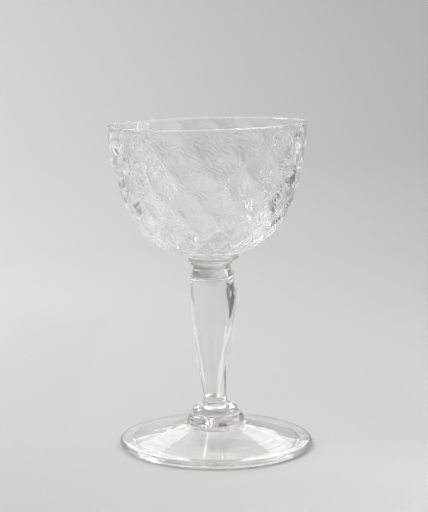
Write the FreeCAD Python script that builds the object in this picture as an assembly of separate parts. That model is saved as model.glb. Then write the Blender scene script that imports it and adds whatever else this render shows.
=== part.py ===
import FreeCAD, Part
import math
import os

# A hand-blown drinking glass in the Venetian manner, in millimetres, standing on the plane Z = 0.
# The origin is the centre of the foot's rest face. The foot is upright. Everything above it was
# built up by eye while hot and leans a little towards -X, so those gathers are made on an upright
# axis, set a little to one side where the glass is, and then leaned together.

# Lean of the stem and bowl, how much further the joint between the neck's lip and the upper merese
# slopes, and how far three of the gathers were set to one side (+X) of the axis
lean_deg = 1.35
lip_slope_deg = 3.2
bowl_set_over = -0.85
merese_set_over = 0.8
hollow_set_over = -0.7

# Foot: a shallow cone whose edge is folded under to a double thickness
foot_r = 45.0
foot_crown_h = 10.6
foot_crown_wall = 3.0
foot_wall = 1.6
foot_fold_w = 6.5
foot_fold_wall = 1.4
foot_fold_blend = 1.6
foot_crown_ledge = 0.6
pontil_r = 6.5
pontil_drop = 0.9
pontil_dimple = 0.5

# Foot merese: the wide collar between the foot and the knop
foot_merese_r = 13.5
foot_merese_seat_r = 12.5
foot_merese_top_r = 10.7
foot_merese_h = 4.6
foot_merese_wide_share = 0.1

# Knop cap: the rounded tier above the foot merese
knop_cap_r = 10.8
knop_cap_seat_r = 10.5
knop_cap_top_r = 6.1
knop_cap_h = 3.7
knop_cap_wide_share = 0.15

# Stem ring: two narrow beads, one on the other, that close the stem's hollow below
stem_ring_r = 5.85
stem_ring_upper_r = 5.6
stem_ring_groove = 0.45
stem_ring_h = 4.0

# Hollow stem: blown, widest just under its shoulder, with a sealed air space
stem_h = 60.4
stem_r = 10.9
stem_foot_r = 5.25
stem_wall = 1.9
stem_foot_wall = 2.9
stem_top_wall = 4.0
hollow_round = 1.5

# Neck collar: a short waist and a thin lip that carry the upper merese
neck_r = 8.6
neck_h = 1.8
neck_lip_r = 9.7
neck_lip_h = 1.4

# Upper merese: the flat collar under the bowl
upper_merese_r = 11.8
upper_merese_top_r = 10.8
upper_merese_seat_r = 9.4
upper_merese_h = 2.6
upper_merese_wide_share = 0.5

# Bowl: blown in a mould of staggered lozenges, with a smooth inside and a fire-polished rim
bowl_rim_r = 45.9
bowl_depth = 61.0
bowl_seat_r = 10.4
bowl_rim_wall = 1.3
bowl_base_wall = 3.4
bowl_floor_r = 7.0

# Moulded bosses: each row has the same number, half a step round from the row above
boss_columns = 16
boss_pitch = 9.4
boss_relief = 1.0
boss_first_drop = 6.9
boss_fade = 3.2
boss_plain_base = 8.5
boss_turn_deg = 265.5
boss_fullness_share = 0.8

# Heights at which each gather ends, measured up the leaning axis
foot_merese_top = foot_crown_h + foot_merese_h
knop_cap_top = foot_merese_top + knop_cap_h
stem_ring_top = knop_cap_top + stem_ring_h
stem_top = stem_ring_top + stem_h
neck_top = stem_top + neck_h
collar_top = neck_top + neck_lip_h
upper_merese_top = collar_top + upper_merese_h
bowl_top = upper_merese_top + bowl_depth

# Outline of the bowl at the level of the creases, from seat to rim: radius as a share of the rim's,
# height as a share of the depth. The first radius is the seat's own size.
bowl_outline_shares = (
    (0.322, 0.020),
    (0.489, 0.088),
    (0.636, 0.179),
    (0.746, 0.293),
    (0.838, 0.441),
    (0.912, 0.605),
    (0.954, 0.769),
    (0.976, 0.900),
)

# Outline of the stem from ring to shoulder: height as a share of the stem's, radius as a share of
# the way from its foot's radius to its widest
stem_outline_shares = (
    (0.00, 0.00),
    (0.12, 0.19),
    (0.28, 0.43),
    (0.45, 0.67),
    (0.62, 0.86),
    (0.78, 0.985),
    (0.87, 0.99),
    (0.94, 0.88),
    (1.00, 0.65),
)

# The hollow follows the stem as far as its seventh station: how much of the way from the upper wall
# to the thicker wall at the foot the glass has there
hollow_wall_shares = (0.90, 1.10, 1.10, 0.40, 0.00, 0.00, 0.00)

# How far a rounded edge reaches into its corner, as a quarter of an ellipse does
ellipse_share = math.sqrt(0.5)

origin = FreeCAD.Vector(0, 0, 0)
up = FreeCAD.Vector(0, 0, 1)
across = FreeCAD.Vector(0, 1, 0)


def at(radius, height):
    """A point of an outline, on the +X side of the axis."""
    return FreeCAD.Vector(radius, 0, height)


def straight(start, end):
    """A straight edge."""
    return Part.LineSegment(start, end).toShape()


def rounded(start, corner, end):
    """A quarter of an ellipse, tangent at its ends to the two sides that meet at corner."""
    curve = Part.BezierCurve()
    curve.setPoles([start, corner, end])
    curve.setWeight(2, ellipse_share)
    return curve.toShape()


def flowing(points):
    """One smooth edge through all the points."""
    curve = Part.BSplineCurve()
    curve.interpolate(points)
    return curve.toShape()


def turned(edges):
    """The solid that a closed outline sweeps in one turn about the upright axis."""
    return Part.Face(Part.Wire(edges)).revolve(origin, up, 360)


def leaned(piece, set_over=0):
    """Sets a piece to one side, then leans it with everything that stands on the foot."""
    piece.translate(FreeCAD.Vector(set_over, 0, 0))
    piece.rotate(origin, across, -lean_deg)
    return piece


def sloped(piece):
    """Turns a piece about the middle of the joint between the neck's lip and the upper merese."""
    piece.rotate(FreeCAD.Vector(0, 0, collar_top), across, -lip_slope_deg)
    return piece


def cut_level(piece, bottom, top):
    """Keeps what lies between two heights."""
    between = Part.makeCylinder(foot_r, top - bottom, FreeCAD.Vector(0, 0, bottom))
    return piece.common(between).Solids[0]


def mix(low, high, share):
    """The value at a share of the way from low to high."""
    return low + (high - low) * share


def collar(bottom, top, seat_r, wide_r, top_r, wide_share):
    """A collar of glass with a rounded edge that is widest at a share of its height."""
    wide = mix(bottom, top, wide_share)
    return turned([
        straight(at(0, bottom), at(seat_r, bottom)),
        rounded(at(seat_r, bottom), at(wide_r, bottom), at(wide_r, wide)),
        rounded(at(wide_r, wide), at(wide_r, top), at(top_r, top)),
        straight(at(top_r, top), at(0, top)),
        straight(at(0, top), at(0, bottom)),
    ])


def make_foot():
    """The cone of the foot, the edge folded under it, and the scar of the pontil at its centre."""
    rim_h = foot_fold_wall + foot_wall
    rim_round = rim_h / 2
    fold_end_r = foot_r - foot_fold_w
    crown_r = foot_merese_seat_r + foot_crown_ledge
    under_h = foot_crown_h - foot_crown_wall
    pontil_h = under_h - pontil_drop
    blend_end_r = fold_end_r - foot_fold_blend
    blend_end_h = mix(foot_fold_wall, under_h, foot_fold_blend / (fold_end_r - crown_r))
    return turned([
        straight(at(0, foot_crown_h), at(crown_r, foot_crown_h)),
        straight(at(crown_r, foot_crown_h), at(fold_end_r, rim_h)),
        straight(at(fold_end_r, rim_h), at(foot_r - rim_round, rim_h)),
        rounded(at(foot_r - rim_round, rim_h), at(foot_r, rim_h), at(foot_r, rim_round)),
        rounded(at(foot_r, rim_round), at(foot_r, 0), at(foot_r - rim_round, 0)),
        straight(at(foot_r - rim_round, 0), at(fold_end_r + foot_fold_blend, 0)),
        rounded(at(fold_end_r + foot_fold_blend, 0), at(fold_end_r, 0),
                at(fold_end_r, foot_fold_wall / 2)),
        rounded(at(fold_end_r, foot_fold_wall / 2), at(fold_end_r, foot_fold_wall),
                at(blend_end_r, blend_end_h)),
        straight(at(blend_end_r, blend_end_h), at(crown_r, under_h)),
        straight(at(crown_r, under_h), at(pontil_r, under_h)),
        rounded(at(pontil_r, under_h), at(pontil_r, pontil_h), at(pontil_r - pontil_drop, pontil_h)),
        flowing([at(pontil_r - pontil_drop, pontil_h), at(0, pontil_h + pontil_dimple)]),
        straight(at(0, pontil_h + pontil_dimple), at(0, foot_crown_h)),
    ])


def make_foot_merese():
    """The lower merese. It takes up the lean: its underside is cut level where it meets the foot."""
    spare_h = foot_crown_h / 2
    wide = mix(foot_crown_h, foot_merese_top, foot_merese_wide_share)
    piece = leaned(turned([
        straight(at(0, spare_h), at(foot_merese_seat_r, spare_h)),
        straight(at(foot_merese_seat_r, spare_h), at(foot_merese_seat_r, foot_crown_h)),
        rounded(at(foot_merese_seat_r, foot_crown_h), at(foot_merese_r, foot_crown_h),
                at(foot_merese_r, wide)),
        rounded(at(foot_merese_r, wide), at(foot_merese_r, foot_merese_top),
                at(foot_merese_top_r, foot_merese_top)),
        straight(at(foot_merese_top_r, foot_merese_top), at(0, foot_merese_top)),
        straight(at(0, foot_merese_top), at(0, spare_h)),
    ]))
    return cut_level(piece, foot_crown_h, bowl_top)


def make_knop_cap():
    """The rounded tier that narrows from the foot merese to the stem ring."""
    return leaned(collar(foot_merese_top, knop_cap_top, knop_cap_seat_r, knop_cap_r,
                         knop_cap_top_r, knop_cap_wide_share))


def make_stem_ring():
    """Two beads, one on the other, with a groove between and flat faces above and below."""
    middle = (knop_cap_top + stem_ring_top) / 2
    lower_mid = (knop_cap_top + middle) / 2
    upper_mid = (middle + stem_ring_top) / 2
    lower_r = stem_ring_r - stem_ring_groove
    groove_r = stem_ring_upper_r - stem_ring_groove
    upper_r = stem_ring_upper_r
    return leaned(turned([
        straight(at(0, knop_cap_top), at(lower_r, knop_cap_top)),
        rounded(at(lower_r, knop_cap_top), at(stem_ring_r, knop_cap_top), at(stem_ring_r, lower_mid)),
        rounded(at(stem_ring_r, lower_mid), at(stem_ring_r, middle), at(groove_r, middle)),
        rounded(at(groove_r, middle), at(upper_r, middle), at(upper_r, upper_mid)),
        rounded(at(upper_r, upper_mid), at(upper_r, stem_ring_top), at(groove_r, stem_ring_top)),
        straight(at(groove_r, stem_ring_top), at(0, stem_ring_top)),
        straight(at(0, stem_ring_top), at(0, knop_cap_top)),
    ]))


def stem_point(station, wall=0):
    """A point of the stem's outline at one station, or as far inside it as the wall is thick."""
    height_share, radius_share = stem_outline_shares[station]
    height = mix(stem_ring_top, stem_top, height_share)
    return at(mix(stem_foot_r, stem_r, radius_share) - wall, height)


def make_hollow():
    """The air space of the stem: open at the stem ring, with a rounded end under the shoulder."""
    side = []
    for station, share in enumerate(hollow_wall_shares):
        side.append(stem_point(station, mix(stem_wall, stem_foot_wall, share)))
    shoulder = side[-1]
    end_h = stem_top - stem_top_wall
    crown = at(shoulder.x - hollow_round, end_h)
    space = turned([
        straight(at(0, stem_ring_top), side[0]),
        flowing(side),
        rounded(shoulder, at(shoulder.x, end_h), crown),
        straight(crown, at(0, end_h)),
        straight(at(0, end_h), at(0, stem_ring_top)),
    ])
    space.translate(FreeCAD.Vector(hollow_set_over, 0, 0))
    return space


def make_hollow_stem():
    """The blown stem with its air space, which lies a little off the stem's own axis."""
    side = [stem_point(station) for station in range(len(stem_outline_shares))]
    body = turned([
        straight(at(0, stem_ring_top), side[0]),
        flowing(side),
        straight(side[-1], at(0, stem_top)),
        straight(at(0, stem_top), at(0, stem_ring_top)),
    ])
    return leaned(body.cut(make_hollow()).Solids[0])


def make_neck_collar():
    """The waist above the stem's shoulder and the thin lip on it, which slopes down towards -X."""
    lip_mid = (neck_top + collar_top) / 2
    spare_h = stem_top - neck_h
    piece = sloped(turned([
        straight(at(0, spare_h), at(neck_r, spare_h)),
        straight(at(neck_r, spare_h), at(neck_r, neck_top)),
        rounded(at(neck_r, neck_top), at(neck_lip_r, neck_top), at(neck_lip_r, lip_mid)),
        rounded(at(neck_lip_r, lip_mid), at(neck_lip_r, collar_top), at(neck_r, collar_top)),
        straight(at(neck_r, collar_top), at(0, collar_top)),
        straight(at(0, collar_top), at(0, spare_h)),
    ]))
    return leaned(cut_level(piece, stem_top, bowl_top))


def make_upper_merese():
    """The flat collar that carries the bowl, set a little towards +X.

    Its underside slopes with the neck's lip and its top is cut square to the leaning axis, so it is
    thicker towards -X.
    """
    spare = upper_merese_r * math.tan(math.radians(lip_slope_deg))
    piece = collar(collar_top, upper_merese_top + spare, upper_merese_seat_r, upper_merese_r,
                   upper_merese_top_r, upper_merese_wide_share)
    piece.translate(FreeCAD.Vector(merese_set_over, 0, 0))
    return leaned(cut_level(sloped(piece), stem_top, upper_merese_top))


def boss_height(drop, length, turn):
    """How far the moulded surface stands out, at a drop below the rim and a turn round the bowl.

    The two cosines make lozenges, each row staggered against the next, with creases between.
    """
    row_angle = math.pi * (drop - boss_first_drop) / boss_pitch
    column_angle = boss_columns * turn
    lozenge = abs(math.cos(row_angle) + math.cos(column_angle)) / 2
    from_rim = min(max(drop / boss_fade - 0.5, 0), 1)
    from_base = min(max((length - drop - boss_plain_base) / boss_pitch, 0), 1)
    return boss_relief * from_rim * from_base * lozenge ** boss_fullness_share


def bowl_meridian():
    """The bowl's outline at the level of the creases, from its seat to its rim."""
    points = [at(bowl_seat_r, upper_merese_top)]
    for radius_share, height_share in bowl_outline_shares:
        points.append(at(bowl_rim_r * radius_share, mix(upper_merese_top, bowl_top, height_share)))
    points.append(at(bowl_rim_r, bowl_top))
    curve = Part.BSplineCurve()
    curve.interpolate(points)
    return curve


def bowl_net():
    """Rows of the bowl's control net, up the moulded outside, over the rim and down the inside.

    A row is its radius and height, the two parts of the outward slope that the bosses stand out
    along, and how high they stand there at most and where.
    """
    meridian = bowl_meridian()
    length = meridian.length()
    row_step = boss_pitch / 3
    outside = [(bowl_seat_r, upper_merese_top, 0, 0, length)]
    inside = []
    for row in range(int((length - boss_first_drop) / row_step), -2, -1):
        drop = boss_first_drop + row * row_step
        place = meridian.parameterAtDistance(length - drop)
        point = meridian.value(place)
        along = meridian.tangent(place)[0]
        wall = mix(bowl_rim_wall, bowl_base_wall, (drop / length) ** 2)
        outside.append((point.x, point.z, along.z, -along.x, drop))
        inside.append((point.x - along.z * wall, point.z + along.x * wall, 0, 0, length))
    edge_h = bowl_top - bowl_rim_wall / 2
    inner_r = bowl_rim_r - bowl_rim_wall
    floor_h = upper_merese_top + bowl_base_wall
    rim = [(bowl_rim_r, edge_h), (bowl_rim_r, bowl_top), (inner_r, bowl_top), (inner_r, edge_h)]
    floor = [(bowl_seat_r, floor_h), (bowl_floor_r, floor_h)]
    smooth = [(radius, height, 0, 0, length) for radius, height in rim]
    smooth += [row for row in reversed(inside[::2]) if row[1] > floor_h + bowl_rim_wall]
    smooth += [(radius, height, 0, 0, length) for radius, height in floor]
    return outside + smooth, length


def make_bowl():
    """The bowl: one smooth surface over a control net, closed by its flat seat and inner floor.

    Six net points to each boss put a net line on every crease. A closed smooth curve runs a little
    inside its net points, so the net is drawn that much wider.
    """
    net, length = bowl_net()
    around = 6 * boss_columns
    pull = (2 + math.cos(2 * math.pi / around)) / 3
    poles = []
    for step in range(around):
        turn = 2 * math.pi * step / around
        column = []
        for radius, height, out, rise, drop in net:
            stand = boss_height(drop, length, turn - math.radians(boss_turn_deg))
            wide = (radius + out * stand) / pull
            column.append(FreeCAD.Vector(wide * math.cos(turn), wide * math.sin(turn),
                                         height + rise * stand))
        poles.append(column)
    spans = len(net) - 3
    surface = Part.BSplineSurface()
    surface.buildFromPolesMultsKnots(
        poles, [1] * (around + 1), [4] + [1] * (spans - 1) + [4],
        list(range(around + 1)), list(range(spans + 1)), True, False, 3, 3)
    side = surface.toShape()
    caps = [Part.Face(Part.Wire(edge)) for edge in side.Edges if edge.isClosed()]
    skin = Part.Shell([side] + caps)
    skin.sewShape()
    return leaned(Part.Solid(skin), bowl_set_over)


def main():
    """Builds every gather and writes each to its own file."""
    os.makedirs("parts", exist_ok=True)
    pieces = {
        "foot": make_foot(),
        "foot_merese": make_foot_merese(),
        "knop_cap": make_knop_cap(),
        "stem_ring": make_stem_ring(),
        "hollow_stem": make_hollow_stem(),
        "neck_collar": make_neck_collar(),
        "upper_merese": make_upper_merese(),
        "bowl": make_bowl(),
    }
    for name, piece in pieces.items():
        print(name, piece.ShapeType, piece.isValid(), round(piece.Volume))
        piece.exportStep("parts/" + name + ".step")


main()
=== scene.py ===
"""A hand-blown drinking glass in the Venetian manner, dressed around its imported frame.

Lengths are in metres. The glass stands on the plane Z = 0. Its foot is upright and everything above
the foot leans a little towards -X, as it was built up by eye while hot.
"""

import logging
import math
from collections.abc import Iterable
from dataclasses import asdict, dataclass, field, replace
from enum import Enum
from typing import ClassVar

import bpy
import numpy as np
from mathutils import Matrix, Vector


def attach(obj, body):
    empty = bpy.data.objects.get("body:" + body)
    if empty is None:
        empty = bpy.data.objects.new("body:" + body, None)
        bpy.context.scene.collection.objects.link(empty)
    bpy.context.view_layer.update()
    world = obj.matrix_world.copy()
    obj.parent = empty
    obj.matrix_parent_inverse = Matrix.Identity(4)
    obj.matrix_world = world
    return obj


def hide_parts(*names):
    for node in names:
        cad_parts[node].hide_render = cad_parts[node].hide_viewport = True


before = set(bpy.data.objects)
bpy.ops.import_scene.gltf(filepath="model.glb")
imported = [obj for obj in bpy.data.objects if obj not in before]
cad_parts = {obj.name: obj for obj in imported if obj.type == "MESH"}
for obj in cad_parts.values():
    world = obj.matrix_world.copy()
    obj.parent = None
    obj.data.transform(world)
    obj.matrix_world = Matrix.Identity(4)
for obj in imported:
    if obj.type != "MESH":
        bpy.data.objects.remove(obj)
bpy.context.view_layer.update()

MM = 0.001
FULL_TURN = 2 * math.pi
SEAT_GAP = 0.01 * MM
ELLIPSE_SHARE = math.sqrt(0.5)
NOISE_MIDDLE = 0.5
LOG = logging.getLogger("chalice")


class Skin(Enum):
    """What a stretch of a piece's surface is: open to the air, fused to its neighbour, or the inside."""

    OPEN = 0
    FUSED = 1
    INSIDE = 2


@dataclass(frozen=True)
class Station:
    """One point of an outline: its radius, height, shift along X, and the skin that leads to it."""

    radius: float
    height: float
    shift: float = 0.0
    skin: Skin = Skin.OPEN


def spline_through(points: list[tuple[float, float]], steps: int) -> list[tuple[float, float]]:
    """Points along one smooth curve through all the given ones.

    Args:
        points: radius and height of each point, in order.
        steps: how many spans the curve is cut into.

    Returns:
        The points after the first one, evenly spaced along the curve.
    """
    knots = np.array(points)
    chord = np.concatenate([[0], np.cumsum(np.linalg.norm(np.diff(knots, axis=0), axis=1))])
    gap = np.diff(chord)
    count = len(knots)
    system = np.zeros((count, count))
    slope = np.zeros((count, 2))
    system[0, :2] = 2, 1
    system[-1, -2:] = 1, 2
    slope[0] = 3 * (knots[1] - knots[0]) / gap[0]
    slope[-1] = 3 * (knots[-1] - knots[-2]) / gap[-1]
    for row in range(1, count - 1):
        before, after = gap[row - 1], gap[row]
        system[row, row - 1:row + 2] = after, 2 * (before + after), before
        rise_before = (knots[row] - knots[row - 1]) * after / before
        rise_after = (knots[row + 1] - knots[row]) * before / after
        slope[row] = 3 * (rise_before + rise_after)
    tangent = np.linalg.solve(system, slope)
    places = np.linspace(0, chord[-1], steps + 1)[1:]
    spans = np.clip(np.searchsorted(chord, places, side="left") - 1, 0, count - 2)
    curve = []
    for place, span in zip(places, spans):
        share = (place - chord[span]) / gap[span]
        start_pull = tangent[span] * gap[span]
        end_pull = tangent[span + 1] * gap[span]
        point = ((2 * share ** 3 - 3 * share ** 2 + 1) * knots[span]
                 + (share ** 3 - 2 * share ** 2 + share) * start_pull
                 + (3 * share ** 2 - 2 * share ** 3) * knots[span + 1]
                 + (share ** 3 - share ** 2) * end_pull)
        curve.append((float(point[0]), float(point[1])))
    return curve


@dataclass
class Outline:
    """The half section of a turned piece, followed from the axis round its outside to the axis."""

    stations: list[Station] = field(default_factory=list)

    def line(self, radius: float, height: float, shift: float = 0.0, skin: Skin = Skin.OPEN,
             steps: int = 1) -> "Outline":
        """Adds a straight stretch.

        Args:
            radius: radius at its end.
            height: height at its end.
            shift: how far its end is set along X.
            skin: what the stretch is.
            steps: how many spans it has.

        Returns:
            The outline itself.
        """
        if not self.stations:
            self.stations.append(Station(radius, height, shift, skin))
            return self
        start = self.stations[-1]
        for step in range(1, steps + 1):
            share = step / steps
            self.stations.append(Station(start.radius + (radius - start.radius) * share,
                                         start.height + (height - start.height) * share,
                                         start.shift + (shift - start.shift) * share, skin))
        return self

    def rounded(self, corner: tuple[float, float], end: tuple[float, float],
                steps: int = 10) -> "Outline":
        """Adds a quarter of an ellipse, tangent to the two sides that meet at its corner.

        Args:
            corner: radius and height where the two sides would meet.
            end: radius and height at its end.
            steps: how many spans it has.

        Returns:
            The outline itself.
        """
        start = self.stations[-1]
        for step in range(1, steps + 1):
            share = step / steps
            pulls = ((1 - share) ** 2, 2 * ELLIPSE_SHARE * share * (1 - share), share ** 2)
            whole = sum(pulls)
            radius = (pulls[0] * start.radius + pulls[1] * corner[0] + pulls[2] * end[0]) / whole
            height = (pulls[0] * start.height + pulls[1] * corner[1] + pulls[2] * end[1]) / whole
            self.stations.append(Station(radius, height, start.shift))
        return self

    def flowing(self, points: list[tuple[float, float]], steps: int) -> "Outline":
        """Adds a smooth stretch from the last station through the given points.

        Args:
            points: radius and height of each point.
            steps: how many spans the stretch has.

        Returns:
            The outline itself.
        """
        start = self.stations[-1]
        for radius, height in spline_through([(start.radius, start.height), *points], steps):
            self.stations.append(Station(radius, height, start.shift))
        return self

    def turned(self, name: str, around: int) -> bpy.types.Mesh:
        """Turns the outline about the upright axis into a closed mesh.

        Args:
            name: name of the mesh.
            around: how many spans one turn has.

        Returns:
            The mesh. The material index of each face is the value of its skin, and the point
            attributes "station" and "turn" say where on the outline and round the axis it is.
        """
        points, faces, skins, places, turns, rings = [], [], [], [], [], []
        for index, station in enumerate(self.stations):
            closed = station.radius <= 0
            ring = []
            for step in range(1 if closed else around):
                turn = FULL_TURN * step / around
                ring.append(len(points))
                points.append((station.radius * math.cos(turn) + station.shift,
                               station.radius * math.sin(turn), station.height))
                places.append(index)
                turns.append(turn)
            rings.append(ring)
        for index, (low, high) in enumerate(zip(rings, rings[1:]), start=1):
            for step in range(around):
                after = (step + 1) % around
                if len(low) == 1:
                    face = (low[0], high[after], high[step])
                elif len(high) == 1:
                    face = (low[step], low[after], high[0])
                else:
                    face = (low[step], low[after], high[after], high[step])
                faces.append(face)
                skins.append(self.stations[index].skin.value)
        mesh = bpy.data.meshes.new(name)
        mesh.from_pydata(points, [], faces)
        mesh.polygons.foreach_set("material_index", skins)
        mesh.attributes.new("station", "FLOAT", "POINT").data.foreach_set("value", places)
        mesh.attributes.new("turn", "FLOAT", "POINT").data.foreach_set("value", turns)
        return mesh


@dataclass(frozen=True)
class Lean:
    """How the gathers above the foot stand: tilted about Y, some of them set to one side first."""

    angle: float = math.radians(-1.35)
    lip_slope: float = math.radians(3.2)

    def apply(self, mesh: bpy.types.Mesh, set_over: float = 0.0) -> None:
        """Sets a mesh to one side and leans it about the centre of the foot's rest face.

        Args:
            mesh: the mesh to move.
            set_over: how far it is set along X before it leans.
        """
        mesh.transform(Matrix.Rotation(self.angle, 4, "Y") @ Matrix.Translation((set_over, 0, 0)))

    def slope(self, mesh: bpy.types.Mesh, level: float, sloped: float, set_over: float = 0.0) -> None:
        """Tilts the levels of a mesh, from none at one height to the whole slope of the lip at another.

        Args:
            mesh: the mesh to change.
            level: the height that stays level.
            sloped: the height that gets the whole slope.
            set_over: how far the mesh will be set along X.
        """
        rise = math.tan(self.lip_slope)
        for point in mesh.vertices:
            share = min(max((point.co.z - level) / (sloped - level), 0), 1)
            point.co.z += (point.co.x + set_over) * rise * share

    def offset_at(self, height: float) -> float:
        """Where the leaning axis is along X at a height."""
        return height * math.tan(self.angle)


class Tree:
    """A node tree in the making, with short ways to add and join its nodes."""

    mix_share, mix_first, mix_second, mix_result = 0, 6, 7, 2

    def __init__(self, tree: bpy.types.NodeTree) -> None:
        """Starts on an empty or fresh tree."""
        self.tree = tree

    def add(self, kind: str, **settings: object) -> bpy.types.Node:
        """Adds a node.

        Args:
            kind: its type.
            settings: values of its properties, by their names.

        Returns:
            The node.
        """
        node = self.tree.nodes.new(kind)
        for name, value in settings.items():
            setattr(node, name, value)
        return node

    def join(self, output: bpy.types.NodeSocket, target: bpy.types.NodeSocket) -> None:
        """Links an output to an input."""
        self.tree.links.new(output, target)

    def feed(self, target: bpy.types.NodeSocket, value: object) -> None:
        """Links a socket to an input, or sets the input's own value.

        Args:
            target: the input.
            value: a number, a colour or a socket.
        """
        if isinstance(value, bpy.types.NodeSocket):
            self.join(value, target)
        else:
            target.default_value = value

    def sum(self, operation: str, first: object, second: object = None,
            third: object = None, clamp: bool = False) -> bpy.types.NodeSocket:
        """Adds a Math node.

        Args:
            operation: which sum it does.
            first: its first value, a number or a socket.
            second: its second value, where it has one.
            third: its third value, where it has one.
            clamp: whether the result is held between 0 and 1.

        Returns:
            Its output.
        """
        node = self.add("ShaderNodeMath", operation=operation, use_clamp=clamp)
        for target, value in zip(node.inputs, (first, second, third)):
            if value is not None:
                self.feed(target, value)
        return node.outputs[0]

    def times(self, first: object, second: object) -> bpy.types.NodeSocket:
        """Multiplies one value by another."""
        return self.sum("MULTIPLY", first, second)

    def over(self, first: object, second: object, clamp: bool = False) -> bpy.types.NodeSocket:
        """Divides one value by another."""
        return self.sum("DIVIDE", first, second, clamp=clamp)

    def less(self, first: object, second: object, clamp: bool = False) -> bpy.types.NodeSocket:
        """Takes one value from another."""
        return self.sum("SUBTRACT", first, second, clamp=clamp)

    def outwards(self, across: object, deep: object) -> bpy.types.NodeSocket:
        """Works out how far a place is from the upright axis."""
        return self.sum("SQRT", self.sum("MULTIPLY_ADD", deep, deep, self.times(across, across)))

    def noise(self, place: bpy.types.NodeSocket, size: object, detail: float,
              **settings: object) -> bpy.types.Node:
        """Adds soft noise.

        Args:
            place: where it is read.
            size: how far apart its swells are, a number or a socket.
            detail: how much finer noise lies over it.
            settings: the node's other settings.

        Returns:
            Its node.
        """
        cloud = self.add("ShaderNodeTexNoise", **settings)
        cloud.inputs["Detail"].default_value = detail
        self.join(place, cloud.inputs["Vector"])
        self.join(self.over(1.0, size), cloud.inputs["Scale"])
        return cloud

    def shaded(self, colour: object, shade: object, share: object = 1.0) -> bpy.types.NodeSocket:
        """Multiplies a colour by another one.

        Args:
            colour: the colour, a value or a socket.
            shade: what it is multiplied by.
            share: how far that goes, from 0 to 1.

        Returns:
            The shaded colour.
        """
        mixer = self.add("ShaderNodeMix", data_type="RGBA", blend_type="MULTIPLY")
        for index, value in ((self.mix_share, share), (self.mix_first, colour),
                             (self.mix_second, shade)):
            self.feed(mixer.inputs[index], value)
        return mixer.outputs[self.mix_result]


def named_amounts(sizes: object) -> dict[str, float]:
    """Gives each number that a dataclass holds the name of the group's input that takes it."""
    return {name.replace("_", " ").title(): value
            for name, value in asdict(sizes).items() if isinstance(value, float)}


def add_sockets(tree: bpy.types.NodeTree, way: str, kind: str, names: Iterable[str]) -> dict[str, str]:
    """Gives a node group named inputs or outputs.

    Args:
        tree: the group's tree.
        way: INPUT or OUTPUT.
        kind: the type of the sockets.
        names: their names.

    Returns:
        The identifier of each, by its name.
    """
    return {name: tree.interface.new_socket(name, in_out=way, socket_type=kind).identifier
            for name in names}


def new_material(name: str, **constants: object) -> tuple[bpy.types.Material, Tree, bpy.types.Node]:
    """Makes a material of one shader and sets what stays the same all over it.

    Args:
        name: its name.
        constants: values of the shader's inputs, by their names in small letters.

    Returns:
        The material, its tree and its shader.
    """
    material = bpy.data.materials.new(name)
    material.use_nodes = True
    shader = material.node_tree.nodes["Principled BSDF"]
    for target in shader.inputs:
        word = target.name.lower().replace(" ", "_")
        if word in constants:
            target.default_value = constants[word]
    return material, Tree(material.node_tree), shader


def put_in_scene(name: str, data: object) -> bpy.types.Object:
    """Makes an object and links it to the scene.

    Args:
        name: its name.
        data: its mesh or its camera.

    Returns:
        The object.
    """
    thing = bpy.data.objects.new(name, data)
    bpy.context.scene.collection.objects.link(thing)
    return thing


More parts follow.
